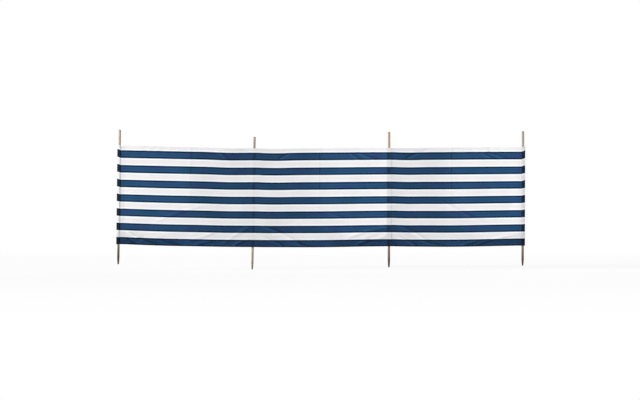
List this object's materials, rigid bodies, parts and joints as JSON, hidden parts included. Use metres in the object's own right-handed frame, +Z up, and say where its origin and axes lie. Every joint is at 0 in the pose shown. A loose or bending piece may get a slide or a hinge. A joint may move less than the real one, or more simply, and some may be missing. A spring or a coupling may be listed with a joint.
{
  "type": "beach windbreak",
  "caption": "Striped cloth windbreak: a row of bays hung on pointed wooden poles that slide into sewn sleeves, to be pushed into sand.",
  "frame": {"origin": "centre of the blunt tip of pole 2, the second pole from the left as seen from the front, where it meets the ground", "axes": "+X along the row of poles to the right as seen from the front, +Y from the front to the back, +Z up; the poles lean up to one degree to the right, as set up"},
  "size_m": [4.252, 0.053, 1.4541],
  "materials": {
    "wood": "sanded softwood, bare, feet stained dark by the ground",
    "striped_cloth": "plain-weave cloth in navy and white stripes, matt",
    "sleeve": "the same striped cloth, doubled and stitched, matt",
    "hem": "the same striped cloth, turned in and stitched, matt"
  },
  "bodies": {
    "middle_bay": {"pole_2": "wood", "pole_3": "wood", "tunnel_front_2": "sleeve", "tunnel_back_2": "sleeve", "tunnel_front_3": "sleeve", "tunnel_back_3": "sleeve", "panel_2": "striped_cloth", "top_hem_2": "hem", "bottom_hem_2": "hem"},
    "left_bay": {"pole_1": "wood", "pocket_1": "sleeve", "panel_1": "striped_cloth", "top_hem_1": "hem", "bottom_hem_1": "hem"},
    "right_bay": {"pole_4": "wood", "pocket_4": "sleeve", "panel_3": "striped_cloth", "top_hem_3": "hem", "bottom_hem_3": "hem"}
  },
  "joints": [
    {"name": "left_bay_swing", "type": "hinge", "parent": "middle_bay", "child": "left_bay", "pos_m": [0, 0, 0], "axis": [0.0175, 0, 0.9998], "range_deg": [-90, 90]},
    {"name": "right_bay_swing", "type": "hinge", "parent": "middle_bay", "child": "right_bay", "pos_m": [1.42381, 0, 0.022], "axis": [0.0017, 0, 1], "range_deg": [-90, 160]}
  ]
}
